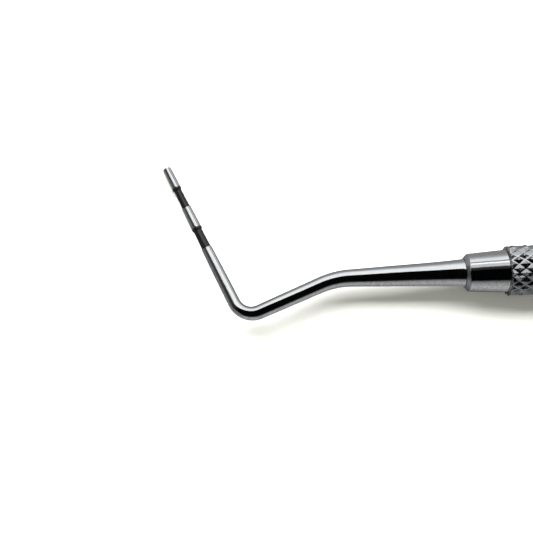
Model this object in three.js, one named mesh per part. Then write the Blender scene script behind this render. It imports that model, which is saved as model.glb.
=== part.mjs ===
// Periodontal probe with colour bands at 3-6-9-12 mm: a stainless steel hand
// instrument. A bent working end is brazed into a tapered collar, the collar is
// brazed into a hollow knurled handle, and a plug closes the rear of the handle.
//
// Millimetres. +X runs along the handle axis from the working end to the rear,
// +Z is up. The instrument lies as on a level surface, the handle on the surface
// and the tip just touching it. The origin is the centre of the flat rear face.
//
// Lengths along the handle axis are measured from the rim of the collar's
// bevelled nose (x = 0). The assembly is moved back by REAR_X at the end.
// Profiles are lists of [x, radius]. On the working end they are lists of
// [s, radius], where s is the distance from the tip along the centreline.

import * as THREE from 'three';
import { mergeVertices } from 'three/addons/utils/BufferGeometryUtils.js';

// ------------------------------------------------------- shared dimensions

const OVERALL_LENGTH = 165.0;   // side of the tip to rear face, along X
const TURNED_FACETS = 48;
const WORKING_END_FACETS = 24;  // also used for the sleeve around the tang
const MERGE_TOLERANCE = 1e-5;

const SEAT_GAP = 0.03;          // between the faces of neighbouring parts
const END_CHAMFER = 0.4;        // on the tang and both spigots

// Collar, with its spigot inside the handle tube.
const NOSE_X = -0.47;
const NOSE_R = 1.91;
const COLLAR_END_X = 4.89;
const COLLAR_END_R = 2.765;
const COLLAR_BORE_R = 1.27;
const SPIGOT_R = 2.47;
const SPIGOT_END_X = 11.3;

// Tang of the working end, inside the collar's bore.
const SHANK_END_X = NOSE_X - SEAT_GAP;
const TANG_R = 1.15;
const TANG_END_X = 10.0;

// Handle tube.
const TUBE_X = COLLAR_END_X + SEAT_GAP;
const TUBE_END_X = 118.8;

// Grooves for braze rings in both spigots.
const RING_GROOVE_R = 2.18;
const RING_GROOVE_WIDTH = 1.0;
const FRONT_GROOVE_X = 7.0;
const REAR_GROOVE_X = TUBE_END_X - 3.2;

// --------------------------------------------------------------- materials

const metal = (color, roughness) =>
  new THREE.MeshStandardMaterial({ color, roughness, metalness: 1.0 });

const polishedSteel = () => metal(0xc9cbcd, 0.16);
const knurledSteel = () => metal(0xb7babd, 0.27);
const brazeAlloy = () => metal(0xd0c6a4, 0.35);
const blackFill = () =>
  new THREE.MeshStandardMaterial({ color: 0x141414, roughness: 0.55, metalness: 0.0 });

// ----------------------------------------------------------------- helpers

// Joins the seam of a lathe geometry and drops the triangles that shrink to
// nothing at the poles, so that the piece is a closed solid.
function sealed(geometry) {
  geometry.deleteAttribute('normal');
  geometry.deleteAttribute('uv');
  const merged = mergeVertices(geometry, MERGE_TOLERANCE);
  const index = merged.index.array;
  const kept = [];
  for (let i = 0; i < index.length; i += 3) {
    const [a, b, c] = [index[i], index[i + 1], index[i + 2]];
    if (a !== b && b !== c && c !== a) kept.push(a, b, c);
  }
  merged.setIndex(kept);
  merged.computeVertexNormals();
  return merged;
}

// Lathe about +Y of a profile of [distance along Y, radius].
function lathe(profile, facets) {
  const points = profile.map(([along, radius]) => new THREE.Vector2(radius, along));
  return new THREE.LatheGeometry(points, facets);
}

// A turned piece about the X axis. Its profile runs from front to rear along
// the outside.
function turned(profile, facets = TURNED_FACETS) {
  return sealed(lathe(profile, facets).rotateZ(-Math.PI / 2));
}

// The profile of a hollow piece returns to its first point.
const looped = (profile) => [...profile, profile[0]];

function piece(name, geometry, material) {
  const mesh = new THREE.Mesh(geometry, material);
  mesh.name = name;
  return mesh;
}

// ------------------------------------------- centreline of the working end

// Points in the bend plane: [along the handle axis, across it].
const TIP = [-38.48, 15.73];
const SHARP_CORNER = [-29.23, -4.73];   // measuring arm to angled shank
const SHALLOW_CORNER = [-17.12, 0.0];   // angled shank to straight shank
const SHARP_BEND_R = 2.52;
const SHALLOW_BEND_R = 10.97;
const ROLL_DEGREES = 9.95;              // lean of the bend plane that rests the tip

function lengthAndAngle(from, to) {
  const [along, across] = [to[0] - from[0], to[1] - from[1]];
  return [Math.hypot(along, across), Math.atan2(across, along)];
}

const [armLength, armAngle] = lengthAndAngle(TIP, SHARP_CORNER);
const [legLength, legAngle] = lengthAndAngle(SHARP_CORNER, SHALLOW_CORNER);

// Length that each bend takes off the straight runs beside its corner.
const sharpCut = SHARP_BEND_R * Math.tan((legAngle - armAngle) / 2);
const shallowCut = SHALLOW_BEND_R * Math.tan(legAngle / 2);

// Distances from the tip at which each bend starts and ends.
const sharpStart = armLength - sharpCut;
const sharpEnd = sharpStart + SHARP_BEND_R * (legAngle - armAngle);
const shallowStart = sharpEnd + legLength - sharpCut - shallowCut;
const shallowEnd = shallowStart + SHALLOW_BEND_R * legAngle;
const shallowEndX = SHALLOW_CORNER[0] + shallowCut;

// A pose is [along, across, heading]. A negative radius bends clockwise.
const straight = ([along, across, heading], travel) => [
  along + travel * Math.cos(heading),
  across + travel * Math.sin(heading),
  heading,
];

function arc([along, across, heading], travel, radius) {
  const newHeading = heading + travel / radius;
  return [
    along + radius * (Math.sin(newHeading) - Math.sin(heading)),
    across - radius * (Math.cos(newHeading) - Math.cos(heading)),
    newHeading,
  ];
}

const tipPose = [...TIP, armAngle];
const sharpStartPose = straight(tipPose, sharpStart);
const sharpEndPose = arc(sharpStartPose, sharpEnd - sharpStart, SHARP_BEND_R);
const shallowStartPose = straight(sharpEndPose, shallowStart - sharpEnd);

function centrelinePose(s) {
  if (s <= sharpStart) return straight(tipPose, s);
  if (s <= sharpEnd) return arc(sharpStartPose, s - sharpStart, SHARP_BEND_R);
  if (s <= shallowStart) return straight(sharpEndPose, s - sharpEnd);
  if (s <= shallowEnd) return arc(shallowStartPose, s - shallowStart, -SHALLOW_BEND_R);
  return [shallowEndX + (s - shallowEnd), 0, 0];
}

// The bend plane is the XY plane leaned about X, tip side down.
const roll = THREE.MathUtils.degToRad(ROLL_DEGREES);
const planeAcross = { y: Math.cos(roll), z: -Math.sin(roll) };
const planeNormal = { y: Math.sin(roll), z: Math.cos(roll) };

// A turned [s, radius] profile bent along the centreline.
function bent(profile) {
  const geometry = lathe(profile, WORKING_END_FACETS);
  const vertices = geometry.attributes.position;
  for (let i = 0; i < vertices.count; i++) {
    // The vertex in its cross-section, split along the bend plane's directions.
    const y = -vertices.getX(i);
    const z = vertices.getZ(i);
    const inPlane = y * planeAcross.y + z * planeAcross.z;
    const offPlane = y * planeNormal.y + z * planeNormal.z;

    const [along, across, heading] = centrelinePose(vertices.getY(i));
    const side = across + inPlane * Math.cos(heading);
    vertices.setXYZ(
      i,
      along - inPlane * Math.sin(heading),
      side * planeAcross.y + offPlane * planeNormal.y,
      side * planeAcross.z + offPlane * planeNormal.z,
    );
  }
  return sealed(geometry);
}

// ------------------------------------------------------------- working end

const BAND_PITCH = 3.0;
const MARKS = [1, 2, 3, 4].map((count) => count * BAND_PITCH);
const BAND_CLEARANCE = 0.02;            // between a band and its groove

// Root radius of each groove, and radii of the band's lip, waist and rear end.
const BAND_3_6 = { from: MARKS[0], to: MARKS[1], root: 0.430, lip: 0.610, waist: 0.500, end: 0.545 };
const BAND_9_12 = { from: MARKS[2], to: MARKS[3], root: 0.500, lip: 0.690, waist: 0.570, end: 0.622 };

const TIP_SIDE = [0.15, 0.555];         // [s, radius] where the tip reaches furthest forward

// [s, radius] of the measuring arm, with a groove for each band.
const ARM = [
  [0, 0], [0, 0.400], [0.05, 0.500], TIP_SIDE, [2.30, 0.590], [2.98, 0.600],
  ...groove(BAND_3_6, 0.600, 0.622),
  ...groove(BAND_9_12, 0.675, 0.698),
  [12.8, 0.712], [14.1, 0.737], [16.1, 0.768], [18.0, 0.795],
];

const ANGLED_SHANK = [[27.9, 0.990]];   // [s, radius] between the bends

// [x, radius] of the straight shank, from the shallow bend to the collar's nose.
const STRAIGHT_SHANK = [
  [-14.1, 1.172], [-12.6, 1.232], [-11.0, 1.294], [-9.5, 1.355], [-7.9, 1.418],
  [-6.4, 1.480], [-4.8, 1.550], [-3.3, 1.630], [-2.5, 1.675], [-1.7, 1.725],
  [-0.95, 1.783], [SHANK_END_X, 1.82],
];

const TANG = [
  [SHANK_END_X, TANG_R], [TANG_END_X - END_CHAMFER, TANG_R],
  [TANG_END_X, TANG_R - END_CHAMFER], [TANG_END_X, 0],
];

// A groove between two marks, given the arm's radius at each of its edges.
function groove({ from, to, root }, frontRadius, rearRadius) {
  return [[from, frontRadius], [from, root], [to, root], [to, rearRadius]];
}

// Evenly spaced stations through a bend, with an even taper.
function taper({ start, end, startRadius, endRadius, steps }) {
  return Array.from({ length: steps + 1 }, (_, i) => [
    start + (end - start) * i / steps,
    startRadius + (endRadius - startRadius) * i / steps,
  ]);
}

function probeInsert() {
  const sharpBend = taper({
    start: sharpStart, end: sharpEnd, startRadius: 0.815, endRadius: 0.940, steps: 12,
  });
  const shallowBend = taper({
    start: shallowStart, end: shallowEnd, startRadius: 1.035, endRadius: 1.140, steps: 6,
  });
  const shankAndTang = [...STRAIGHT_SHANK, ...TANG]
    .map(([x, radius]) => [shallowEnd + (x - shallowEndX), radius]);
  const profile = [...ARM, ...sharpBend, ...ANGLED_SHANK, ...shallowBend, ...shankAndTang];
  return piece('probe_insert', bent(profile), polishedSteel());
}

// A band has a raised lip at the tip end, a waist, then a slow flare.
function blackBand(name, { from, to, root, lip, waist, end }) {
  const front = from + BAND_CLEARANCE;
  const rear = to - BAND_CLEARANCE;
  const bore = root + BAND_CLEARANCE;
  const profile = looped([
    [front, bore],
    [front, lip - 0.02], [front + 0.08, lip], [front + 0.24, lip - 0.01],
    [front + 0.40, waist + 0.01], [front + 0.60, waist],
    [rear - 0.7, (waist + 2 * end) / 3], [rear, end],
    [rear, bore],
  ]);
  return piece(name, bent(profile), blackFill());
}

// -------------------------------------------------------- collar and braze

const ringGroove = (x) => [
  [x, SPIGOT_R], [x, RING_GROOVE_R],
  [x + RING_GROOVE_WIDTH, RING_GROOVE_R], [x + RING_GROOVE_WIDTH, SPIGOT_R],
];

function frontCollar() {
  const profile = looped([
    [NOSE_X, COLLAR_BORE_R], [NOSE_X, NOSE_R],
    [-0.08, 2.345], [0.0, 2.410], [0.11, 2.435],   // bevel rounding into the taper
    [COLLAR_END_X, COLLAR_END_R], [COLLAR_END_X, SPIGOT_R],
    ...ringGroove(FRONT_GROOVE_X),
    [SPIGOT_END_X - END_CHAMFER, SPIGOT_R], [SPIGOT_END_X, SPIGOT_R - END_CHAMFER],
    [SPIGOT_END_X, COLLAR_BORE_R],
  ]);
  return piece('front_collar', turned(profile), polishedSteel());
}

// A plain ring of rectangular section.
const sleeve = (front, rear, innerRadius, outerRadius) => looped([
  [front, innerRadius], [front, outerRadius], [rear, outerRadius], [rear, innerRadius],
]);

// Fills most of the gap between the tang and the collar's bore.
function tangBrazeSleeve() {
  const profile = sleeve(-0.40, TANG_END_X - 0.8, 1.175, 1.25);
  return piece('tang_braze_sleeve', turned(profile, WORKING_END_FACETS), brazeAlloy());
}

// A ring clear of its groove's walls and root, standing just proud of the spigot.
function brazeRing(name, grooveX) {
  const sideClearance = 0.06;
  const rootClearance = 0.04;
  const proud = 0.02;
  const profile = sleeve(
    grooveX + sideClearance,
    grooveX + RING_GROOVE_WIDTH - sideClearance,
    RING_GROOVE_R + rootClearance,
    SPIGOT_R + proud,
  );
  return piece(name, turned(profile), brazeAlloy());
}

// ------------------------------------------------------------- handle tube

const TUBE_BORE_R = 2.52;
const KNURL_R = 3.27;                // over the knurl crests
const PLAIN_R = 3.22;                // smooth band at mid handle
const PLAIN_START_X = 54.6;
const PLAIN_END_X = 69.1;
const PLAIN_STEP_LENGTH = 0.05;      // slope between knurl and smooth band

// Rounded lip at both ends: [distance from the end face, radius].
const TUBE_LIP = [[0, 3.02], [0.07, 3.18], [0.14, 3.24], [0.20, KNURL_R]];

function handleTube() {
  const profile = looped([
    [TUBE_X, TUBE_BORE_R],
    ...TUBE_LIP.map(([distance, radius]) => [TUBE_X + distance, radius]),
    [PLAIN_START_X, KNURL_R], [PLAIN_START_X + PLAIN_STEP_LENGTH, PLAIN_R],
    [PLAIN_END_X - PLAIN_STEP_LENGTH, PLAIN_R], [PLAIN_END_X, KNURL_R],
    ...TUBE_LIP.map(([distance, radius]) => [TUBE_END_X - distance, radius]).reverse(),
    [TUBE_END_X, TUBE_BORE_R],
  ]);
  return piece('handle_tube', turned(profile), knurledSteel());
}

// --------------------------------------------------------------- rear plug

const PLUG_X = TUBE_END_X + SEAT_GAP;
const PLUG_R = 2.77;
const PLUG_RIM_R = 2.49;             // where the taper meets the dome
const PLUG_TAPER_END = 1.58;         // ahead of the rear face
const PLUG_SPIGOT_X = TUBE_END_X - 6.0;
const END_FACE_R = 1.25;             // flat at the end of the dome
const DOME_R = 1.22;
const DOME_START_DEGREES = 78;
const DOME_STEPS = 6;

// The overall length runs back from the side of the tip.
const FRONT_X = TIP[0] + TIP_SIDE[0] * Math.cos(armAngle) + TIP_SIDE[1] * Math.sin(armAngle);
const REAR_X = FRONT_X + OVERALL_LENGTH;

function rearPlug() {
  const dome = Array.from({ length: DOME_STEPS + 1 }, (_, i) => {
    const angle = THREE.MathUtils.degToRad(DOME_START_DEGREES * (1 - i / DOME_STEPS));
    return [REAR_X - DOME_R + DOME_R * Math.cos(angle), END_FACE_R + DOME_R * Math.sin(angle)];
  });
  const profile = [
    [PLUG_SPIGOT_X, 0], [PLUG_SPIGOT_X, SPIGOT_R - END_CHAMFER],
    [PLUG_SPIGOT_X + END_CHAMFER, SPIGOT_R],
    ...ringGroove(REAR_GROOVE_X),
    [PLUG_X, SPIGOT_R], [PLUG_X, PLUG_R],
    [REAR_X - PLUG_TAPER_END, PLUG_RIM_R],
    ...dome,
    [REAR_X, 0],
  ];
  return piece('rear_plug', turned(profile), polishedSteel());
}

// ---------------------------------------------------------------- assembly

const workingEnd = new THREE.Group();
workingEnd.add(
  probeInsert(),
  blackBand('black_band_3_6', BAND_3_6),
  blackBand('black_band_9_12', BAND_9_12),
);

const handle = new THREE.Group();
handle.add(
  frontCollar(),
  tangBrazeSleeve(),
  brazeRing('front_braze_ring', FRONT_GROOVE_X),
  handleTube(),
  brazeRing('rear_braze_ring', REAR_GROOVE_X),
  rearPlug(),
);

const instrument = new THREE.Group();
instrument.position.x = -REAR_X;
instrument.add(workingEnd, handle);

const probe = new THREE.Group();
probe.add(instrument);
export default probe;
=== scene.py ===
# A hand probe with a bent working end, two black bands, a front collar, a knurled handle
# and a rear cap. It lies on the floor along X, its tip towards -X and bent towards +Y.
import math

import bpy
import numpy as np
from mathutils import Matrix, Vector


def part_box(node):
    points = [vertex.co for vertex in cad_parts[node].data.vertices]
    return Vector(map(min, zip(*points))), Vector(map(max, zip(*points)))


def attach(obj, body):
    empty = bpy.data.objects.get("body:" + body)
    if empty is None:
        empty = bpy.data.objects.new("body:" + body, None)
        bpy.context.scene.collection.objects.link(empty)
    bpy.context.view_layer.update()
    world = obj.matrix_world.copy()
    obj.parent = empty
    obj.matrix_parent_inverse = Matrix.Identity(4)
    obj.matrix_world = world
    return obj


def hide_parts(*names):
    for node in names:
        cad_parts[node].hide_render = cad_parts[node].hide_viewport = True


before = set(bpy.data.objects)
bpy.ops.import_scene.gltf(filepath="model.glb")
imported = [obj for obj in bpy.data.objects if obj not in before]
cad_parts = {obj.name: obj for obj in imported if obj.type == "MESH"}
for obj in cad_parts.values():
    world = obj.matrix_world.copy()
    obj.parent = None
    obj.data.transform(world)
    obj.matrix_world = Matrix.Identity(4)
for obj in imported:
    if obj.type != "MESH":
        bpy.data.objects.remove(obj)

MM = 0.001
scene = bpy.context.scene


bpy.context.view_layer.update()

# ------------------------------------------------------------------ dimensions
# Millimetres and radians. X is measured along the handle axis from the rim of the
# collar's bevelled nose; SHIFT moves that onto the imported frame.

TUBE_X = 4.92                           # front face of the handle tube
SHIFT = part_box("handle_tube")[0].x / MM - TUBE_X
TUBE_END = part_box("handle_tube")[1].x / MM - SHIFT
REAR_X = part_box("rear_plug")[1].x / MM - SHIFT
FLOOR_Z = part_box("handle_tube")[0].z    # metres

# Centreline of the working end, as (along, across): a straight arm from the tip, a sharp
# bend, a straight leg and a wide bend onto the handle axis.
TIP = np.array([-38.48, 15.73])
CORNER1 = np.array([-29.23, -4.73])     # where arm and leg would meet
CORNER2 = np.array([-17.12, 0.0])       # where leg and handle axis would meet
BEND1_R, BEND2_R = 2.52, 10.97
ROLL = math.radians(9.95)               # tilt of the plane of the bends about X

# Working end, front to back
SHANK_END, SHANK_R = -0.50, 1.815
TANG_R, TANG_END_X, TANG_BEVEL = 1.15, 10.0, 0.4
SEAT1_R, SEAT2_R = 0.430, 0.500         # under the two bands
BAND_GAP = 0.012                        # between a band and each end of its seat

# Collar, cap and the spigots that fit into the tube
NOSE_X, NOSE_R, BORE_R = -0.47, 1.925, 1.27
COLLAR_END, COLLAR_LIP_R = 4.89, 2.62
SPIGOT_R, SPIGOT_BEVEL = 2.47, 0.4
GROOVE_R, GROOVE_WIDTH = 2.18, 1.0
CAP_X = TUBE_END + 0.03

# Handle tube
STARTS = 17                             # grooves of each hand around the handle
KNURL_TURNS = 30                        # diamonds along each knurled zone
CREST_R, DEPTH = 3.27, 0.26
PLAIN_R, FACE_R, TUBE_BORE = 3.22, 2.96, 2.52
KNURL1 = (TUBE_X + 0.16, 54.6)
KNURL2 = (69.1, TUBE_END - 0.16)

# --------------------------------------------------- centreline of the working end


def heading_vector(angle):
    return np.array([math.cos(angle), math.sin(angle)])


arm_vec, leg_vec = CORNER1 - TIP, CORNER2 - CORNER1
A_ARM = math.atan2(arm_vec[1], arm_vec[0])
A_LEG = math.atan2(leg_vec[1], leg_vec[0])
CUT1 = BEND1_R * math.tan((A_LEG - A_ARM) / 2)      # from a corner to its bend's ends
CUT2 = BEND2_R * math.tan(A_LEG / 2)

# Distances from the tip at which each stretch ends
S_ARM = float(np.hypot(*arm_vec)) - CUT1
S_BEND1 = S_ARM + BEND1_R * (A_LEG - A_ARM)
S_LEG = S_BEND1 + float(np.hypot(*leg_vec)) - CUT1 - CUT2
S_BEND2 = S_LEG + BEND2_R * A_LEG

X_BEND2 = CORNER2[0] + CUT2
ARM_END = TIP + S_ARM * heading_vector(A_ARM)
BEND1_CENTRE = ARM_END + BEND1_R * np.array([-math.sin(A_ARM), math.cos(A_ARM)])
BEND1_END = ARM_END + BEND1_R * np.array([math.sin(A_LEG) - math.sin(A_ARM),
                                          -(math.cos(A_LEG) - math.cos(A_ARM))])
LEG_END = BEND1_END + (S_LEG - S_BEND1) * heading_vector(A_LEG)


def s_of_x(x):
    """Distance from the tip of a point on the handle axis."""
    return S_BEND2 + (x - X_BEND2)


TANG_END = s_of_x(TANG_END_X)
SHOULDER = s_of_x(SHANK_END)


def centreline(s):
    """Along, across and heading at distances s from the tip."""
    stretch = [s <= S_ARM, s <= S_BEND1, s <= S_LEG, s <= S_BEND2]
    heading = np.select(stretch, [A_ARM, A_ARM + (s - S_ARM) / BEND1_R,
                                  A_LEG, A_LEG - (s - S_LEG) / BEND2_R], 0.0)
    sine, cosine = np.sin(heading), np.cos(heading)
    along = np.select(stretch, [
        TIP[0] + s * math.cos(A_ARM),
        ARM_END[0] + BEND1_R * (sine - math.sin(A_ARM)),
        BEND1_END[0] + (s - S_BEND1) * math.cos(A_LEG),
        LEG_END[0] - BEND2_R * (sine - math.sin(A_LEG))], X_BEND2 + s - S_BEND2)
    across = np.select(stretch, [
        TIP[1] + s * math.sin(A_ARM),
        ARM_END[1] - BEND1_R * (cosine - math.cos(A_ARM)),
        BEND1_END[1] + (s - S_BEND1) * math.sin(A_LEG),
        LEG_END[1] + BEND2_R * (cosine - math.cos(A_LEG))], 0.0)
    return along, across, heading


# The plane of the bends: its direction across the handle and its normal, in Y and Z
ACROSS = np.array([math.cos(ROLL), -math.sin(ROLL)])
NORMAL = np.array([math.sin(ROLL), math.cos(ROLL)])


def place_bent(flow):
    """Straight (distance from tip, y, z) points carried onto the bent centreline."""
    s, y, z = flow.T
    in_plane = y * ACROSS[0] + z * ACROSS[1]
    off_plane = y * NORMAL[0] + z * NORMAL[1]
    along, across, heading = centreline(s)
    along = along - in_plane * np.sin(heading)
    across = across + in_plane * np.cos(heading)
    return np.stack([along + SHIFT, across * ACROSS[0] + off_plane * NORMAL[0],
                     across * ACROSS[1] + off_plane * NORMAL[1]], 1)


def place_straight(flow):
    return flow + np.array([SHIFT, 0.0, 0.0])


# -------------------------------------------------------------------- profiles
# A profile is a list of (distance along the axis, radius) pairs.


def pchip(points):
    """Monotone cubic through the points, so that a taper has no bumps between stations."""
    known_x, known_y = np.array(points, float).T
    gap = np.diff(known_x)
    slope = np.diff(known_y) / gap
    tangent = np.zeros_like(known_y)
    tangent[0], tangent[-1] = slope[0], slope[-1]
    for i in range(1, len(gap)):
        if slope[i - 1] * slope[i] > 0:
            before = 2 * gap[i] + gap[i - 1]
            after = gap[i] + 2 * gap[i - 1]
            tangent[i] = (before + after) / (before / slope[i - 1] + after / slope[i])

    def curve(x):
        i = np.clip(np.searchsorted(known_x, x) - 1, 0, len(gap) - 1)
        part = (x - known_x[i]) / gap[i]
        rest = 1 - part
        return ((1 + 2 * part) * rest ** 2 * known_y[i]
                + part * rest ** 2 * gap[i] * tangent[i]
                + part * part * (3 - 2 * part) * known_y[i + 1]
                + part * part * (part - 1) * gap[i] * tangent[i + 1])
    return curve


def run(curve, start, end, step):
    """Evenly spaced stations of a curve, about one step apart."""
    count = max(2, int(round((end - start) / step)) + 1)
    return [(s, float(curve(s))) for s in np.linspace(start, end, count)]


def arc(centre, size, start, end, count):
    """Points on a circle of radius size about centre, angles in degrees."""
    return [(centre[0] + size * math.cos(angle), centre[1] + size * math.sin(angle))
            for angle in np.radians(np.linspace(start, end, count))]


def bevel_path(corners, steps):
    """Rounds (x, radius, rounding) corners; a rounding of 0 keeps the corner sharp."""
    path = []
    points = [np.array(corner[:2], float) for corner in corners]
    for i, (point, corner) in enumerate(zip(points, corners)):
        if corner[2] == 0:
            path.append(tuple(point))
            continue
        back, ahead = points[i - 1] - point, points[i + 1] - point
        back_length, ahead_length = np.hypot(*back), np.hypot(*ahead)
        size = min(corner[2], back_length * 0.49, ahead_length * 0.49)
        start = point + back / back_length * size
        end = point + ahead / ahead_length * size
        for part in np.linspace(0, 1, steps):
            path.append(tuple((1 - part) ** 2 * start + 2 * part * (1 - part) * point
                              + part * part * end))
    return path


def densify(profile, count):
    """Adds rings to stretches over 1 mm, so that reflections in a taper stay straight."""
    dense = []
    for here, after in zip(profile[:-1], profile[1:]):
        dense.append(here)
        if after[0] - here[0] > 1.0:
            for part in np.linspace(0, 1, count)[1:-1]:
                dense.append((here[0] + (after[0] - here[0]) * part,
                              here[1] + (after[1] - here[1]) * part))
    return dense + [profile[-1]]


# ---------------------------------------------------------------------- meshes

def add_object(name, data):
    piece = bpy.data.objects.new(name, data)
    scene.collection.objects.link(piece)
    return piece


def add_mesh(name, flow, faces, place, depth=None, sharp=32.0):
    """Places straight points and keeps them as "flow" for the materials. Edges steeper
    than sharp (degrees) stay sharp."""
    mesh = bpy.data.meshes.new(name)
    mesh.from_pydata([tuple(v) for v in place(flow) * MM], [], faces)
    mesh.validate()
    mesh.update()
    layer = mesh.attributes.new("flow", "FLOAT_VECTOR", "POINT")
    layer.data.foreach_set("vector", np.asarray(flow, np.float32).ravel())
    if depth is not None:
        layer = mesh.attributes.new("depth", "FLOAT", "POINT")
        layer.data.foreach_set("value", np.asarray(depth, np.float32))
    for polygon in mesh.polygons:
        polygon.use_smooth = True
    mesh.set_sharp_from_angle(angle=math.radians(sharp))
    return add_object(name, mesh)


def turned(name, profile, count, place=place_straight, radial=None, sharp=32.0):
    """Sweeps a profile about the axis. It starts and ends on the axis, or its last point
    repeats its first and the piece is a ring. radial(distance, radius, angles) varies
    the radius around the piece."""
    ring = profile[0] == profile[-1]
    if ring:
        profile = profile[:-1]
    angles = np.arange(count) * 2 * math.pi / count
    parts, starts, total = [], [], 0
    for distance, radius in profile:
        if radius == 0:
            part = np.array([[distance, 0.0, 0.0]])
        else:
            radii = np.full(count, radius) if radial is None else radial(distance, radius, angles)
            part = np.stack([np.full(count, distance), radii * np.cos(angles),
                             radii * np.sin(angles)], 1)
        parts.append(part)
        starts.append(total)
        total += len(part)
    faces = []
    for i in range(len(profile) if ring else len(profile) - 1):
        k = (i + 1) % len(profile)
        here, after = starts[i], starts[k]
        for j in range(count):
            nxt = (j + 1) % count
            if profile[i][1] == 0:
                faces.append((here, after + nxt, after + j))
            elif profile[k][1] == 0:
                faces.append((here + j, here + nxt, after))
            else:
                faces.append((here + j, here + nxt, after + nxt, after + j))
    return add_mesh(name, np.concatenate(parts), faces, place, sharp=sharp)


def finish_piece(piece, material, replaces):
    piece.data.materials.append(material)
    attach(piece, "root")
    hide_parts(replaces)


# ----------------------------------------------------------------- node helpers

def grey(value):
    return (value, value, value, 1.0)


def shade(color, factor):
    """A colour times one factor, or times a factor for each channel."""
    return (*np.multiply(color, factor), 1.0)


class Net:
    """Builds the node tree of a material or a world. Inputs take a number or a socket."""

    def __init__(self, owner):
        owner.use_nodes = True
        self.tree = owner.node_tree
        self.tree.nodes.clear()

    def node(self, kind, **props):
        node = self.tree.nodes.new("ShaderNode" + kind)
        for key, value in props.items():
            setattr(node, key, value)
        return node

    def put(self, socket, value):
        if isinstance(value, bpy.types.NodeSocket):
            self.tree.links.new(value, socket)
        else:
            socket.default_value = value

    def filled(self, kind, *values, **props):
        """A node with its first inputs filled in order."""
        node = self.node(kind, **props)
        for i, value in enumerate(values):
            self.put(node.inputs[i], value)
        return node

    def math(self, operation, *values):
        return self.filled("Math", *values, operation=operation).outputs[0]

    def add(self, a, b):
        return self.math("ADD", a, b)

    def sub(self, a, b):
        return self.math("SUBTRACT", a, b)

    def mul(self, a, b):
        return self.math("MULTIPLY", a, b)

    def vec(self, operation, *vectors):
        return self.filled("VectorMath", *vectors, operation=operation).outputs[0]

    def scale(self, vector, factor):
        node = self.filled("VectorMath", vector, operation="SCALE")
        self.put(node.inputs["Scale"], factor)
        return node.outputs[0]

    def split(self, vector):
        return self.filled("SeparateXYZ", vector).outputs

    def flow(self):
        """Position on the straightened piece, in mm."""
        return self.node("Attribute", attribute_name="flow").outputs["Vector"]

    def noise(self, vector, stretch=None, scale=1.0, detail=3.0, rough=0.6):
        if stretch is not None:
            vector = self.vec("MULTIPLY", vector, stretch)
        node = self.node("TexNoise")
        self.put(node.inputs["Vector"], vector)
        self.put(node.inputs["Scale"], scale)
        self.put(node.inputs["Detail"], detail)
        self.put(node.inputs["Roughness"], rough)
        return node.outputs[0]

    def remap(self, value, span, to=(0.0, 1.0), smooth=False):
        """Takes span[0]..span[1] to to[0]..to[1], and holds the ends outside it."""
        kind = "SMOOTHSTEP" if smooth else "LINEAR"
        return self.filled("MapRange", value, *span, *to, interpolation_type=kind).outputs[0]

    def mix(self, factor, a, b):
        node = self.node("Mix", data_type="RGBA")
        self.put(node.inputs[0], factor)
        self.put(node.inputs[6], a)
        self.put(node.inputs[7], b)
        return node.outputs[2]

    def ramp(self, value, stops):
        """Colour ramp through (position, (r, g, b)) stops."""
        node = self.filled("ValToRGB", value)
        elements = node.color_ramp.elements
        while len(elements) > 1:
            elements.remove(elements[-1])
        elements[0].position = stops[0][0]
        for position, _ in stops[1:]:
            elements.new(position)
        for element, (position, color) in zip(elements, stops):
            element.position = position
            element.color = (*color, 1.0)
        return node.outputs[0]

    def across_table(self, value, table):
        """0 to 1 over the range of a table's first column."""
        return self.remap(value, (table[0][0], table[-1][0]))

    def grey_ramp(self, part, table, scale=1.0):
        """Greys of a table at a 0 to 1 part of its range, divided by scale."""
        low, high = table[0][0], table[-1][0]
        return self.ramp(part, [((place - low) / (high - low), (level / scale,) * 3)
                                for place, level in table])

    def look_up(self, value, table, scale):
        """Straight-line look-up in a table of levels from 0 to scale."""
        color = self.grey_ramp(self.across_table(value, table), table, scale)
        return self.mul(self.filled("SeparateColor", color).outputs[0], scale)

    def bump(self, height, strength, distance, normal=None):
        """Distance in metres."""
        node = self.node("Bump")
        self.put(node.inputs["Strength"], strength)
        self.put(node.inputs["Distance"], distance)
        self.put(node.inputs["Height"], height)
        if normal is not None:
            self.put(node.inputs["Normal"], normal)
        return node.outputs[0]

    def shader(self, kind, *values):
        """A shader from its colour and, where it has one, its strength."""
        return self.filled(kind, *values).outputs[0]

    def finish(self, shader, kind="OutputMaterial"):
        self.filled(kind, shader)

    def principled(self, color, rough, metal, normal, specular=0.5):
        node = self.node("BsdfPrincipled")
        self.put(node.inputs["Base Color"], color)
        self.put(node.inputs["Roughness"], rough)
        self.put(node.inputs["Metallic"], metal)
        self.put(node.inputs["Specular IOR Level"], specular)
        self.put(node.inputs["Normal"], normal)
        self.finish(node.outputs[0])


# -------------------------------------------------------------------- materials

STEEL = (0.60, 0.61, 0.625)
KNURL_STEEL = (0.62, 0.63, 0.645)
BLACK = grey(0.0)


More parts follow.
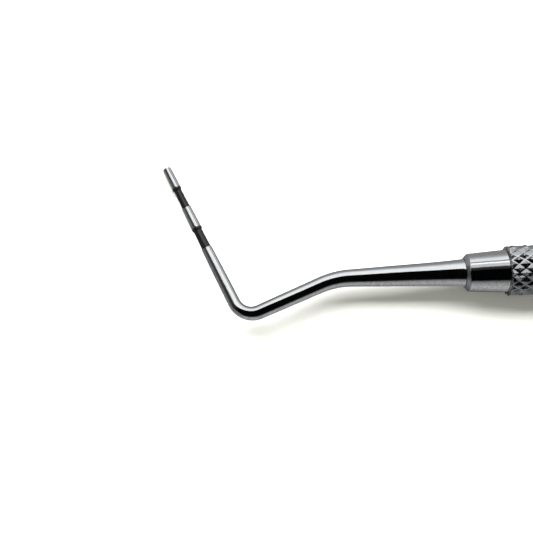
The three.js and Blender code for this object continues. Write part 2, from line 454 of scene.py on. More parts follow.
def turned_nose_with_shade(net, flow, edge, color, rough):
    """The bevel in front of edge, left as turned: fine concentric tool marks and a rougher
    finish than the polished cone. Its colour is painted shade, lightest towards +Y."""
    x, y, _ = net.split(flow)
    on_nose = net.remap(x, (edge - 0.02, edge + 0.02), to=(1.0, 0.0), smooth=True)
    marks = net.noise(flow, stretch=(20.0, 0.15, 0.15))
    # painted shade over its middle, 0.85 mm to either side, weaker on the rim; painted
    # light towards +Y, the softbox side
    shade_middle = net.math("POWER", net.math("DIVIDE", net.math("ABSOLUTE", y), 0.85), 4.0)
    shade_middle = net.math("EXPONENT", net.mul(shade_middle, -1.0))
    shade_middle = net.mul(shade_middle, net.remap(x, (edge - 0.40, edge - 0.10), to=(1.0, 0.45)))
    nose_shade = net.mix(net.remap(y, (0.5, 1.3), smooth=True),
                   shade(STEEL, (0.50, 0.51, 0.52)), shade(STEEL, (0.86, 0.87, 0.88)))
    nose_shade = net.mix(shade_middle, nose_shade, shade(STEEL, 0.10))
    cover = net.mul(on_nose, net.remap(marks, (0.35, 0.65), to=(0.97, 0.60)))
    return net.mix(cover, color, nose_shade), net.add(rough, net.mul(on_nose, 0.14))


def steel_material(name, rough, along, around, bump, nose=None, wave=None):
    """Polished stainless steel. Fine polishing lines run along the piece and turning lines
    around it, with the strengths along and around. nose is the x at which an as-turned
    bevel with painted shade ends; wave is the height in metres of a slow unevenness."""
    material = bpy.data.materials.new(name)
    net = Net(material)
    flow = net.flow()
    lines_along = net.noise(flow, stretch=(0.35, 14.0, 14.0), detail=5.0)
    lines_around = net.noise(flow, stretch=(16.0, 0.7, 0.7), detail=5.0, rough=0.65)
    cloud = net.noise(flow, scale=0.45, rough=0.5)
    fine = net.noise(flow, scale=9.0, detail=6.0)
    lines = net.add(net.mul(lines_along, along), net.mul(lines_around, around))

    # roughness: lines plus handling haze, never a perfect mirror
    haze = net.mul(net.sub(lines, 0.5 * (along + around)), 0.16)
    roughness = net.add(rough, haze)
    roughness = net.add(roughness, net.mul(net.sub(cloud, 0.5), 0.05))
    roughness = net.math("MAXIMUM", roughness, 0.035)

    # colour: cooler and warmer patches, darker lines, and mottling that grows towards -Y
    color = net.mix(net.remap(cloud, (0.35, 0.65)),
                    shade(STEEL, 0.965), shade(STEEL, (1.02, 1.015, 1.0)))
    color = net.mix(net.remap(lines, (0.30, 0.62), to=(0.10, 0.0)), color, shade(STEEL, 0.6))
    mottle = net.noise(flow, scale=2.6, detail=4.0)
    mottle = net.mul(net.remap(mottle, (0.38, 0.60), to=(1.0, 0.0)),
                     net.remap(net.split(flow)[1], (0.3, -0.2), to=(0.03, 0.18)))
    color = net.mix(mottle, color, BLACK)
    if nose is not None:
        # the bevel's colour is painted shade, lighter towards +Y
        color, roughness = turned_nose_with_shade(net, flow, nose, color, roughness)

    height = net.add(net.mul(lines, 1.0), net.mul(fine, 0.25))
    normal = None
    if wave is not None:
        slow = net.noise(flow, stretch=(1.3, 0.5, 0.5), detail=2.0, rough=0.5)
        normal = net.bump(slow, strength=1.0, distance=wave)
    normal = net.bump(height, strength=bump, distance=3.5e-6, normal=normal)
    net.principled(color, roughness, metal=1.0, normal=normal)
    return material


def knurl_material(name):
    """Knurled steel: rolled flanks, a little darker deep in the valleys in patches, and crests
    rubbed smooth by handling. Painted highlight lines run along the crests and the valley
    bottoms, with painted shade on the flanks between and in the corner behind the collar."""
    material = bpy.data.materials.new(name)
    net = Net(material)
    flow = net.flow()
    depth = net.node("Attribute", attribute_name="depth").outputs["Fac"]
    grain = net.noise(flow, scale=6.0, detail=6.0)
    cloud = net.noise(flow, scale=0.5, rough=0.5)
    around = net.noise(flow, stretch=(14.0, 0.8, 0.8), detail=4.0)

    # depth is 0 on the crests and 1 in the valleys; both extremes are smoother, and their
    # colour is a painted highlight line, the flanks between a painted shade
    deep = net.remap(depth, (0.55, 1.0), smooth=True)
    crest = net.remap(depth, (0.0, 0.16), to=(1.0, 0.0))
    burnish_and_glint = net.math("MAXIMUM", net.remap(depth, (0.05, 0.12), to=(1.0, 0.0)),
                         net.remap(depth, (0.92, 0.97)))
    # darker deep in the valleys, in patches
    deep_darkening = net.mul(deep, net.remap(cloud, (0.35, 0.65), to=(0.25, 0.75)))
    color = net.mix(net.remap(grain, (0.3, 0.7)),
                    shade(KNURL_STEEL, 0.93), shade(KNURL_STEEL, 1.05))
    color = net.mix(deep_darkening, color, shade(KNURL_STEEL, (0.80, 0.79, 0.77)))
    # painted highlight lines on the crests and valley bottoms, painted shade on the flanks
    color = net.mix(burnish_and_glint, net.mix(0.24, color, BLACK),
                    net.mix(0.40, color, (0.95, 0.96, 0.97, 1)))

    # painted shade in the corner behind the collar, patchy
    corner = net.remap(net.split(flow)[0], (TUBE_X + 0.06, TUBE_X + 0.19), to=(0.85, 0.0),
                       smooth=True)
    uneven = net.remap(net.noise(flow, scale=1.1), (0.38, 0.60), to=(0.25, 1.0))
    color = net.mix(net.mul(corner, uneven), color, (0.06, 0.065, 0.08, 1))

    roughness = net.add(0.13, net.mul(deep, 0.04))
    roughness = net.add(roughness, net.mul(net.sub(grain, 0.5), 0.08))
    roughness = net.sub(roughness, net.mul(crest, 0.04))
    roughness = net.sub(roughness, net.mul(burnish_and_glint, 0.06))
    roughness = net.math("MAXIMUM", roughness, 0.05)
    normal = net.bump(net.add(grain, net.mul(around, 0.5)), strength=0.8, distance=1.4e-5)
    net.principled(color, roughness, metal=1.0, normal=normal)
    return material


def band_material(name):
    """Matte black colour coating: near black, grainy, with faint rubbed streaks."""
    material = bpy.data.materials.new(name)
    net = Net(material)
    flow = net.flow()
    grain = net.noise(flow, scale=6.0)
    streak = net.noise(flow, stretch=(0.6, 6.0, 6.0))
    color = net.mix(net.remap(grain, (0.35, 0.75)),
                    (0.0015, 0.0015, 0.002, 1), (0.004, 0.004, 0.0045, 1))
    color = net.mix(net.remap(streak, (0.55, 0.75), to=(0.0, 0.6)), color,
                    (0.012, 0.012, 0.013, 1))
    normal = net.bump(net.add(grain, net.mul(streak, 0.6)), strength=0.6, distance=1.0e-5)
    net.principled(color, net.remap(grain, (0.3, 0.7), to=(0.11, 0.22)), metal=0.0,
                   normal=normal, specular=0.55)
    return material


def braze_material(name):
    """Silver braze alloy: pale yellow, slightly frosted and uneven."""
    material = bpy.data.materials.new(name)
    net = Net(material)
    place = net.scale(net.node("TexCoord").outputs["Object"], 1000.0)
    patches = net.noise(place, scale=1.6, detail=5.0)
    frost = net.noise(place, scale=7.0, detail=4.0)
    color = net.mix(net.remap(patches, (0.35, 0.65)),
                    (0.62, 0.56, 0.40, 1), (0.74, 0.70, 0.58, 1))
    normal = net.bump(net.add(patches, net.mul(frost, 0.5)), strength=0.5, distance=2.0e-5)
    net.principled(color, net.remap(frost, (0.3, 0.7), to=(0.28, 0.48)), metal=1.0,
                   normal=normal)
    return material


insert_steel = steel_material("polished_steel_working_end", rough=0.075, along=0.6,
                              around=0.35, bump=0.55, wave=1.2e-5)
collar_steel = steel_material("polished_steel_collar", rough=0.045, along=0.1,
                              around=0.6, bump=0.40, nose=0.02, wave=2.5e-5)
cap_steel = steel_material("polished_steel_rear_cap", rough=0.060, along=0.1,
                           around=0.8, bump=0.45)
handle_steel = knurl_material("knurled_steel_handle")
band_black = band_material("black_band_coating")
braze = braze_material("silver_braze")

# ------------------------------------------------------------------- working end

# Tapers: (distance from the tip, radius)
TIP_TAPER = [(0.16, 0.560), (1.2, 0.577), (2.3, 0.590), (2.965, 0.600)]
BETWEEN_BANDS = [(6.035, 0.622), (7.5, 0.652), (8.965, 0.675)]
BEHIND_BANDS = [
    (12.04, 0.698), (12.8, 0.712), (14.1, 0.737), (16.1, 0.768), (18.0, 0.795),
    (S_ARM, 0.815), ((S_ARM + S_BEND1) / 2, 0.880), (S_BEND1, 0.940), (27.9, 0.990),
    (S_LEG, 1.035), ((S_LEG + S_BEND2) / 2, 1.085), (S_BEND2, 1.140)]
# Shank on the handle axis: (x, radius)
SHANK = [
    (-14.08, 1.172), (-12.57, 1.233), (-11.03, 1.294), (-9.48, 1.355), (-7.92, 1.418),
    (-6.38, 1.480), (-4.83, 1.548), (-3.28, 1.625), (-2.50, 1.668), (-1.73, 1.718),
    (-0.95, 1.776), (SHANK_END, SHANK_R)]


def band_seat(start, end, seat, before, after):
    """A recess for a band. before and after are the radii at the outer and inner points
    of its two softened edges."""
    return [(start - 0.01, before[0]), (start, before[1]), (start, seat),
            (end, seat), (end, after[1]), (end + 0.01, after[0])]


def hand_polish(s, radius, angles):
    """Hand polishing leaves a round section very slightly uneven. The tang, the foremost
    tip and the band seats stay round."""
    if s > SHOULDER - 0.1 or s < 0.3 or 2.9 < s < 6.1 or 8.9 < s < 12.1:
        return np.full(len(angles), radius)
    oval = np.sin(2 * angles + 0.9 * s) * math.sin(0.55 * s + 0.4)
    return radius + 0.0016 * radius * (oval + 0.7 * np.sin(3 * angles - 0.5 * s + 1.1))


def build_working_end():
    tip = pchip(TIP_TAPER)
    middle = pchip(BETWEEN_BANDS)
    main = pchip(BEHIND_BANDS + [(s_of_x(x), radius) for x, radius in SHANK])
    profile = [(0.0, 0.0), (0.0, 0.20)]
    profile += arc((0.16, 0.400), size=0.16, start=180, end=90, count=7)
    profile += run(tip, 0.26, 2.965, step=0.22)
    profile += band_seat(3.0, 6.0, SEAT1_R, before=(0.593, 0.575), after=(0.615, 0.598))
    profile += run(middle, 6.035, 8.965, step=0.22)
    profile += band_seat(9.0, 12.0, SEAT2_R, before=(0.669, 0.652), after=(0.691, 0.674))
    profile += run(main, 12.04, S_ARM - 0.05, step=0.28)
    profile += run(main, S_ARM, S_BEND1, step=0.075)
    profile += run(main, S_BEND1 + 0.1, S_LEG - 0.1, step=0.3)
    profile += run(main, S_LEG, S_BEND2, step=0.14)
    profile += run(main, S_BEND2 + 0.15, SHOULDER - 0.06, step=0.24)
    profile += [(SHOULDER - 0.015, SHANK_R - 0.008), (SHOULDER, SHANK_R - 0.025),
                (SHOULDER, TANG_R), (TANG_END - TANG_BEVEL, TANG_R),
                (TANG_END, TANG_R - TANG_BEVEL), (TANG_END, 0.0)]
    piece = turned("working_end", profile, count=96, place=place_bent, radial=hand_polish)
    finish_piece(piece, insert_steel, "probe_insert")


def build_band(name, replaces, start, end, seat, lip, waist, flare):
    """A black band: a raised lip at the front, a narrower waist, and a flare to the back.
    start and end bound its seat; the rest are radii."""
    start += BAND_GAP
    end -= BAND_GAP
    root = seat + 0.02
    rise = flare - waist
    profile = [(start, root)]
    profile += [(start + offset, radius) for offset, radius in [
        (0.0, lip - 0.035), (0.012, lip - 0.016), (0.035, lip - 0.004), (0.07, lip),
        (0.17, lip), (0.23, lip - 0.007), (0.27, lip - 0.024), (0.31, (lip + waist) / 2),
        (0.36, waist + 0.014), (0.44, waist + 0.004)]]
    curve = pchip([(start + 0.54, waist), (start + 1.2, waist + 0.10 * rise),
                   (end - 0.9, waist + 0.5 * rise), (end - 0.25, flare),
                   (end - 0.02, flare + 0.002)])
    profile += run(curve, start + 0.54, end - 0.02, step=0.10)
    profile += [(end, flare - 0.010), (end, root), (start, root)]

    def coating(s, radius, angles):
        """Uneven thickness, except on the hidden inner face."""
        if radius <= root + 1e-6:
            return np.full(len(angles), radius)
        ripple = np.sin(5 * angles + 3.1 * s + start) * np.sin(7.3 * s + 2 * angles) * 0.6
        return radius + 0.0045 * (ripple + np.sin(9 * angles - 4.7 * s) * 0.25
                                  + np.sin(2 * angles + 11.0 * s) * 0.3)

    piece = turned(name, profile, count=72, place=place_bent, radial=coating, sharp=50)
    finish_piece(piece, band_black, replaces)


build_working_end()
build_band("colour_band_3_6", "black_band_3_6", start=3.0, end=6.0, seat=SEAT1_R,
           lip=0.612, waist=0.500, flare=0.545)
build_band("colour_band_9_12", "black_band_9_12", start=9.0, end=12.0, seat=SEAT2_R,
           lip=0.692, waist=0.570, flare=0.622)

# ---------------------------------------------------------------------- collar


def spigot_groove(x):
    return [(x, SPIGOT_R), (x, GROOVE_R), (x + GROOVE_WIDTH, GROOVE_R),
            (x + GROOVE_WIDTH, SPIGOT_R)]


def build_collar():
    profile = bevel_path([(NOSE_X, BORE_R, 0), (NOSE_X, NOSE_R, 0.055), (-0.033, 2.440, 0.16),
                          (COLLAR_END, 2.765, 0.05), (COLLAR_END, COLLAR_LIP_R, 0)], steps=7)
    profile += [(COLLAR_END, SPIGOT_R)] + spigot_groove(7.0)
    profile += [(10.9, SPIGOT_R), (11.3, SPIGOT_R - SPIGOT_BEVEL), (11.3, BORE_R),
                (NOSE_X, BORE_R)]
    piece = turned("collar", densify(profile, 14), count=128)
    finish_piece(piece, collar_steel, "front_collar")


build_collar()

# -------------------------------------------------------------- knurled handle
# The knurl is a lattice of lines of both hands. A whole diamond spans the lines below:
# place within the diamond and height, 0 in the valley and 1 on the crest.

LINE_PLACES = [0.0, 0.07, 0.42, 0.50, 0.58, 0.93]
LINE_HEIGHTS = [0.0, 0.04, 0.94, 1.0, 0.94, 0.04]
LINES = len(LINE_PLACES)
RING_LINES = STARTS * LINES


def lattice(i):
    """Place and height of lattice line i."""
    return i // LINES + LINE_PLACES[i % LINES], LINE_HEIGHTS[i % LINES]


class TubeMesh:
    """Grows the tube ring by ring. All rings use the angles at which a plane across the
    axis cuts the lattice, so that knurls and smooth rings join vertex to vertex."""

    def __init__(self, x, radius):
        self.verts, self.depths, self.faces = [], [], []
        self.start = self.edge = self.ring(x, radius)

    def vert(self, x, radius, angle, depth):
        self.verts.append((x, radius * math.cos(angle), radius * math.sin(angle)))
        self.depths.append(depth)
        return len(self.verts) - 1

    def ring(self, x, radius):
        return [self.vert(x, radius, lattice(i)[0] * 2 * math.pi / STARTS, 0.0)
                for i in range(RING_LINES)]

    def join(self, ring):
        """Bridges the open edge to a ring, which becomes the open edge."""
        for j in range(RING_LINES):
            k = (j + 1) % RING_LINES
            self.faces.append((self.edge[j], self.edge[k], ring[k], ring[j]))
        self.edge = ring

    def smooth(self, profile):
        for x, radius in profile:
            self.join(self.ring(x, radius))

    def knurl(self, start, end):
        """Diamonds between two planes. Line u runs up one hand, v up the other:
        angle = (u + v) pi / STARTS and x = start + (u - v) / 2 * pitch."""
        pitch = (end - start) / KNURL_TURNS
        top = 2 * KNURL_TURNS * LINES
        made = {}

        def crossing(i, j):
            # moving both lines on by RING_LINES gives the same point one turn on
            key = (i - j, i % RING_LINES)
            if key not in made:
                (u_place, u_height), (v_place, v_height) = lattice(i), lattice(j)
                # rolled knurls are a little uneven
                uneven = math.sin(2.3 * (i // LINES) + 1.7 * (j // LINES))
                height = min(u_height, v_height) * (1 - 0.05 * (0.5 + 0.5 * uneven))
                made[key] = self.vert(start + (u_place - v_place) / 2 * pitch,
                                      CREST_R - DEPTH * (1 - height),
                                      (u_place + v_place) * math.pi / STARTS, 1 - height)
            return made[key]

        first = [crossing(i, i) for i in range(RING_LINES)]
        last = [crossing(i + top, i) for i in range(RING_LINES)]
        for j in range(RING_LINES):
            for rise in range(top + 1):
                i = j + rise
                low = crossing(i, j)
                high = crossing(i + 1, j + 1)
                # the other two corners of the cell, towards +X and -X
                if rise < top:
                    rear = crossing(i + 1, j)
                if rise > 0:
                    front = crossing(i, j + 1)
                if rise == 0:
                    self.faces.append((low, high, rear))
                elif rise == top:
                    self.faces.append((low, front, high))
                elif i % LINES == LINES - 1 - j % LINES:
                    self.faces += [(low, front, rear), (rear, front, high)]
                elif i % LINES == j % LINES:
                    self.faces += [(low, high, rear), (low, front, high)]
                else:
                    self.faces.append((low, front, high, rear))
        self.join(first)
        self.edge = last


# Tube end, from the bore out to the rim: (distance in from the face, radius)
TUBE_FACE = [(0.0, TUBE_BORE), (0.0, FACE_R - 0.05), (0.010, FACE_R - 0.014), (0.035, FACE_R)]


def build_handle():
    tube = TubeMesh(TUBE_X + 0.15, TUBE_BORE)
    tube.smooth([(TUBE_X + inset, radius) for inset, radius in TUBE_FACE])
    tube.knurl(*KNURL1)
    plain_start, plain_end = KNURL1[1], KNURL2[0]
    tube.smooth([(plain_start + 0.05, PLAIN_R - 0.02), (plain_start + 0.12, PLAIN_R)])
    tube.smooth([(x, PLAIN_R) for x in np.linspace(plain_start + 0.6, plain_end - 0.6, 14)])
    tube.smooth([(plain_end - 0.12, PLAIN_R), (plain_end - 0.05, PLAIN_R - 0.02)])
    tube.knurl(*KNURL2)
    tube.smooth([(TUBE_END - inset, radius) for inset, radius in reversed(TUBE_FACE)])
    tube.smooth([(TUBE_END - 0.15, TUBE_BORE)])
    tube.join(tube.start)
    piece = add_mesh("knurled_handle", np.array(tube.verts), tube.faces, place_straight,
                     depth=tube.depths, sharp=24.0)
    finish_piece(piece, handle_steel, "handle_tube")


build_handle()

# -------------------------------------------------------------------- rear cap


def build_cap():
    profile = [(TUBE_END - 6.0, 0.0), (TUBE_END - 6.0, SPIGOT_R - SPIGOT_BEVEL),
               (TUBE_END - 5.6, SPIGOT_R)]
    profile += spigot_groove(TUBE_END - 3.2) + [(CAP_X, SPIGOT_R)]
    taper = bevel_path([(CAP_X, 2.62, 0), (CAP_X, 2.77, 0.05), (REAR_X - 1.50, 2.49, 0.12),
                        (REAR_X - 1.27, 2.445, 0)], steps=6)
    profile += densify(taper, 12)
    profile += arc((REAR_X - 1.22, 1.25), size=1.22, start=77, end=6, count=13)
    profile += [(REAR_X, 1.21), (REAR_X, 0.8), (REAR_X, 0.0)]
    piece = turned("rear_cap", profile, count=128)
    finish_piece(piece, cap_steel, "rear_plug")


build_cap()

# ------------------------------------------------- carried-over internal pieces

for name in ("tang_braze_sleeve", "front_braze_ring", "rear_braze_ring"):
    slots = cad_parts[name].data.materials
    slots.clear()
    slots.append(braze)

# ------------------------------------------------------------------------ stage


def add_sheet(name, corners, z):
    """A flat staged sheet through (x, y) corners, in metres."""
    mesh = bpy.data.meshes.new(name)
    mesh.from_pydata([(x, y, z) for x, y in corners], [], [(0, 1, 2, 3)])
    sheet = add_object(name, mesh)
    return sheet


def handle_x(net, x):
    """World x in metres to mm from the collar's rim."""
    return net.sub(net.mul(x, 1000.0), SHIFT)


def trace_back(net):
    """Where the present ray started, split into x, y, z in metres, and the direction
    back to there."""
    back = net.node("NewGeometry").outputs["Incoming"]
    # a second output of the same node gives the point that the ray has hit
    hit = back.node.outputs["Position"]
    length = net.node("LightPath").outputs["Ray Length"]
    return net.split(net.vec("ADD", hit, net.scale(back, length))), back


FLOOR_X = (SHIFT + 30.0) * MM           # metres, as are the next two
FLOOR_HALF = 3.0
FLOOR_DROP = 0.00002

# What polished steel sees of the floor: (y in mm, brightness). The thin end lies over a
# lit floor, the collar and the handle over their own shadow.
FLOOR_THIN = [
    (-60, 0.60), (-20, 0.55), (-14, 0.48), (-10, 0.44), (-6, 0.38), (-4, 0.34),
    (-2.5, 0.28), (0, 0.20), (2.5, 0.24), (5, 0.30), (8.4, 0.38), (16, 0.42),
    (28, 0.50), (45, 0.64), (60, 0.70)]
FLOOR_THICK = [
    (-60, 0.62), (-20, 0.61), (-14.7, 0.54), (-8, 0.41), (-6, 0.26), (-3.4, 0.10),
    (0, 0.06), (4, 0.28), (6.3, 0.35), (16, 0.37), (23, 0.48), (45, 0.56), (60, 0.60)]


def floor_material(name):
    """Pale floor that fades to white with distance; glossy rays see a painted one."""
    material = bpy.data.materials.new(name)
    net = Net(material)
    position = net.node("NewGeometry").outputs["Position"]
    x, y, _ = net.split(position)
    offset = net.vec("SUBTRACT", position, (FLOOR_X + 0.03, 0.0, FLOOR_Z))
    distance = net.filled("VectorMath", offset, operation="LENGTH").outputs["Value"]
    seen = net.shader("MixShader", net.remap(distance, (0.115, 0.19), smooth=True),
                      net.shader("BsdfDiffuse", (0.82, 0.82, 0.79, 1)),
                      net.shader("Emission", grey(1), 1.0))

    part = net.across_table(net.mul(y, 1000.0), FLOOR_THIN)
    thin = net.grey_ramp(part, FLOOR_THIN)
    thick = net.grey_ramp(part, FLOOR_THICK)
    start, _ = trace_back(net)
    start_x = handle_x(net, start[0])
    painted = net.mix(net.remap(start_x, (-1.0, 0.0)), thin, thick)
    # painted shadow in the mirrored floor: darker under the front of the handle, most of
    # all towards -Y
    dark = net.mul(net.remap(start_x, (4.88, 4.94)),
                   net.remap(start_x, (11.0, 26.0), to=(1.0, 0.2), smooth=True))
    dark = net.mul(dark, net.remap(y, (-0.001, 0.003), to=(0.62, 0.15)))
    painted = net.mix(dark, painted, grey(0.02))
    # one even grey beyond the tip
    beyond = net.remap(handle_x(net, x), (-36.0, -60.0), smooth=True)
    painted = net.mix(beyond, painted, grey(0.30))

    glossy = net.node("LightPath").outputs["Is Glossy Ray"]
    mirror = net.shader("Emission", painted, 1.0)
    net.finish(net.shader("MixShader", glossy, seen, mirror))
    return material


floor = add_sheet("floor", [(FLOOR_X - FLOOR_HALF, -FLOOR_HALF),
                            (FLOOR_X + FLOOR_HALF, -FLOOR_HALF),
                            (FLOOR_X + FLOOR_HALF, FLOOR_HALF),
                            (FLOOR_X - FLOOR_HALF, FLOOR_HALF)], FLOOR_Z - FLOOR_DROP)
floor.data.materials.append(floor_material("pale_floor"))

# ------------------------------------------------------------------------ light
# A tent with one long softbox on the +Y side, dark overhead where the camera is,
# and a dim wall on the -Y side.

GLOW = 2.0      # emission strength; ramp levels are divided by it to stay below 1

# (degrees from overhead, positive towards -Y; brightness)
SKY = [
    (-180, 0.30), (-130, 0.36), (-100, 0.60), (-92, 0.68), (-85, 1.05), (-78, 1.28),
    (-70, 1.45), (-60, 1.38), (-48, 1.48), (-20, 1.45), (-12, 0.004), (0, 0.002),
    (48.5, 0.004), (52, 0.12), (56, 0.20), (61, 0.30), (66, 0.40), (75, 0.49),
    (85, 0.57), (95, 0.61), (125, 0.45), (180, 0.30)]
# Tint at some of those angles: (r, g, b) factors
TINT = {-100: (0.95, 0.99, 1.04), -92: (0.94, 0.99, 1.05), -85: (0.94, 0.99, 1.06),
        -78: (0.96, 1.0, 1.04)}


def build_world():
    world = bpy.data.worlds.new("studio")
    scene.world = world
    net = Net(world)
    x, y, z = net.split(net.node("TexCoord").outputs["Generated"])
    angle = net.math("ARCTAN2", net.mul(y, -1.0), z)
    part = net.math("MULTIPLY_ADD", angle, 1 / (2 * math.pi), 0.5)
    sky = net.ramp(part, [((place + 180) / 360,
                           tuple(level / GLOW * k for k in TINT.get(place, (1, 1, 1))))
                          for place, level in SKY])
    # dim walls beyond the two ends of the instrument
    rear = net.remap(x, (0.76, 0.90), smooth=True)
    front = net.remap(x, (-0.42, -0.62), smooth=True)
    sky = net.mix(rear, sky, grey(0.17))
    sky = net.mix(front, sky, grey(0.12))

    # glossy rays see the tent, diffuse ones a soft even light, the camera plain white
    rays = net.node("LightPath").outputs
    lit = net.shader("MixShader", rays["Is Glossy Ray"],
                     net.shader("Background", (0.98, 0.99, 0.90, 1), 0.46),
                     net.shader("Background", sky, GLOW))
    lit = net.shader("MixShader", rays["Is Camera Ray"], lit,
                     net.shader("Background", grey(1), 1.0))
    net.finish(lit, "OutputWorld")


build_world()

# The dark card over the set, around the lens: only polished steel sees it. How far it
# reaches depends on which part of the instrument looks up at it.

CARD = [(-700, -1400), (-700, 430), (700, 430), (700, -1400)]   # x, y in mm
CARD_Z = 0.120

# Edge of the card towards +Y, in degrees from overhead across the piece: by x in mm, and
# by the centreline's heading in degrees around the sharp bend
EDGE_BY_X = [
    (-27.0, 46), (-25.4, 44), (-23.5, 39), (-21.5, 37), (-15.0, 35.5), (-12.0, 37),
    (-8.6, 40), (-3.4, 38.5), (-0.8, 36), (-0.4, 28), (4.9, 27), (5.0, 30)]
ARM_DEGREES = math.degrees(A_ARM)
EDGE_BY_HEADING = [(ARM_DEGREES, -7.0), (-58.0, 2.0), (-45.0, 20.0), (-30.0, 36.0),
                   (-10.0, 45.0), (22.0, 46.0)]
EDGE_LIFT = 20.0    # keeps the levels of that table positive in its ramp

# The card as the arm sees it: (degrees across the piece, brightness)
ARM_CARD = [(-80, 0.21), (-60.8, 0.20), (-52.8, 0.09), (-24, 0.07), (-16, 0.10), (0, 0.12)]
# Lamps and the seams between them, as the collar sees them: (degrees as in SKY, brightness)
LAMPS = [
    (-74, 1.25), (-69, 1.6), (-67, 1.5), (-65.5, 0.75), (-63, 0.60), (-56.5, 0.52),
    (-54.8, 1.9), (-50, 1.9), (-46.5, 1.2), (-44, 0.85), (-42, 0.78), (-38, 1.0),
    (-32, 0.85), (-29, 0.55), (-27.2, 0.06), (-12, 0.02)]


def centreline_turn(net, x, y):
    """Heading of the centreline beside (x, y), in radians: it turns about the centre of
    the sharp bend and fades to 0 along the wide one."""
    middle = (A_ARM + A_LEG) / 2
    from_x = net.sub(x, BEND1_CENTRE[0])
    from_y = net.sub(net.math("DIVIDE", y, math.cos(ROLL)), BEND1_CENTRE[1])
    outward = net.add(net.mul(from_x, math.sin(middle)), net.mul(from_y, -math.cos(middle)))
    onward = net.add(net.mul(from_x, math.cos(middle)), net.mul(from_y, math.sin(middle)))
    turn = net.add(net.math("ARCTAN2", onward, outward), middle)
    turn = net.math("MAXIMUM", net.math("MINIMUM", turn, A_LEG), A_ARM)
    return net.mul(turn, net.remap(x, (-14.0, -20.0), smooth=True))


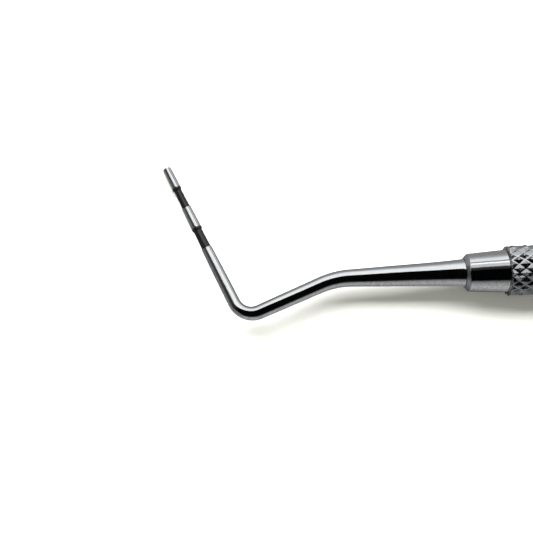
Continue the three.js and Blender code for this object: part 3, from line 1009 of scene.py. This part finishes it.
def card_material(name):
    material = bpy.data.materials.new(name)
    net = Net(material)

    def degrees(angle):
        return net.mul(angle, 180 / math.pi)

    start, back = trace_back(net)
    x = handle_x(net, start[0])
    y = net.mul(start[1], 1000.0)
    ray = [net.mul(part, -1.0) for part in net.split(back)]
    # the ray's angle from overhead: round the handle axis, positive towards -Y, and
    # across the centreline, positive towards +Y
    round_axis = degrees(net.math("ARCTAN2", net.mul(ray[1], -1.0), ray[2]))
    turn = centreline_turn(net, x, y)
    side = net.sub(net.mul(ray[1], net.math("COSINE", turn)),
                   net.mul(ray[0], net.math("SINE", turn)))
    across = degrees(net.math("ARCTAN2", side, ray[2]))
    heading = degrees(turn)

    def arm_fade(end):
        """1 on the arm, falling to 0 where the heading reaches end."""
        return net.remap(heading, (ARM_DEGREES + 0.5, end), to=(1.0, 0.0), smooth=True)

    # the card itself, between its edges
    swing = net.look_up(heading, [(place, edge + EDGE_LIFT) for place, edge in
                                  EDGE_BY_HEADING], scale=70.0)
    far_edge = net.math("MINIMUM", net.look_up(x, EDGE_BY_X, scale=60.0),
                        net.sub(swing, EDGE_LIFT))
    near_edge = net.math("MULTIPLY_ADD", arm_fade(-40.0), -24.0, -49.5)
    card = net.mul(net.remap(net.sub(far_edge, across), (-1.5, 1.5), smooth=True),
                   net.remap(net.sub(across, near_edge), (-0.7, 0.7)))

    # across the arm the card is greyer
    on_arm = net.mul(arm_fade(-40.0), net.remap(y, (-4.5, 3.0), to=(0.35, 1.0)))
    arm_card = net.grey_ramp(net.across_table(across, ARM_CARD), ARM_CARD)

    # the collar also mirrors the seams between the lamps
    on_collar = net.mul(net.remap(x, (-0.50, -0.46)),
                        net.remap(x, (4.90, 4.92), to=(1.0, 0.0)))
    lamps = net.grey_ramp(net.across_table(round_axis, LAMPS), LAMPS, scale=GLOW)
    lamps_on = net.mul(net.remap(round_axis, (-74.0, -72.0)),
                       net.remap(round_axis, (-13.0, -12.0), to=(1.0, 0.0)))
    lamps_on = net.mul(on_collar, lamps_on)

    # the front of the handle sees a grey low on the -Y side and a thin veil on the +Y side
    on_handle = net.mul(net.remap(x, (4.90, 4.94)),
                        net.remap(x, (11.0, 26.0), to=(1.0, 0.0), smooth=True))
    low = net.mul(on_handle, net.remap(round_axis, (48.0, 49.0)))
    veil = net.mul(on_handle, net.remap(round_axis, (-30.0, -31.0), to=(0.0, 0.30)))

    # the arm sees a grey low on its +Y side
    limit = net.remap(y, (-4.0, 15.0), to=(76.0, 55.0))
    arm_low = net.mul(arm_fade(-35.0),
                      net.remap(net.sub(across, limit), (-9.0, 9.0), smooth=True))

    opaque = net.math("MAXIMUM", net.math("MAXIMUM", lamps_on, low), arm_low)
    opaque = net.math("MAXIMUM", net.math("MAXIMUM", card, veil), opaque)
    color = net.mix(on_arm, grey(0.0005), net.mix(0.5, arm_card, BLACK))
    color = net.mix(lamps_on, color, lamps)
    color = net.mix(low, color, (0.075, 0.076, 0.08, 1))
    color = net.mix(net.remap(across, (35.0, 40.0)), color,
                    net.mix(arm_low, color, (0.14, 0.142, 0.146, 1)))
    clear = net.node("BsdfTransparent").outputs[0]
    net.finish(net.shader("MixShader", opaque, clear, net.shader("Emission", color, GLOW)))
    return material


card = add_sheet("overhead_card", [((SHIFT + x) * MM, y * MM) for x, y in CARD], CARD_Z)
card.visible_camera = False
card.visible_diffuse = False
card.visible_shadow = False
card.data.materials.append(card_material("black_card"))

# Softbox on the +Y side, aimed at the handle axis; metres and watts
SOFTBOX_Y, SOFTBOX_Z = 0.200, 0.210
softbox_data = bpy.data.lights.new("softbox", "AREA")
softbox_data.shape = "RECTANGLE"
softbox_data.size = 0.60
softbox_data.size_y = 0.165
softbox_data.energy = 4.0
softbox = add_object("softbox", softbox_data)
softbox.location = (SHIFT * MM + 0.05, SOFTBOX_Y, SOFTBOX_Z)
softbox.rotation_euler = (-math.atan2(SOFTBOX_Y, SOFTBOX_Z), 0, 0)
softbox.visible_glossy = False
softbox.visible_camera = False

# ----------------------------------------------------------------------- camera
# Straight overhead, turned slightly about the vertical

camera_data = bpy.data.cameras.new("camera")
camera_data.sensor_width = 36.0
camera_data.lens = 59.43715
camera_data.clip_start = 0.002
camera_data.clip_end = 50.0
camera = add_object("camera", camera_data)
camera.location = ((SHIFT - 25.865) * MM, 1.972 * MM, 113.6 * MM)
camera.rotation_euler = (0, 0, -math.radians(2.608))
scene.camera = camera

scene.view_settings.view_transform = "Standard"
scene.view_settings.look = "None"

bpy.context.view_layer.update()
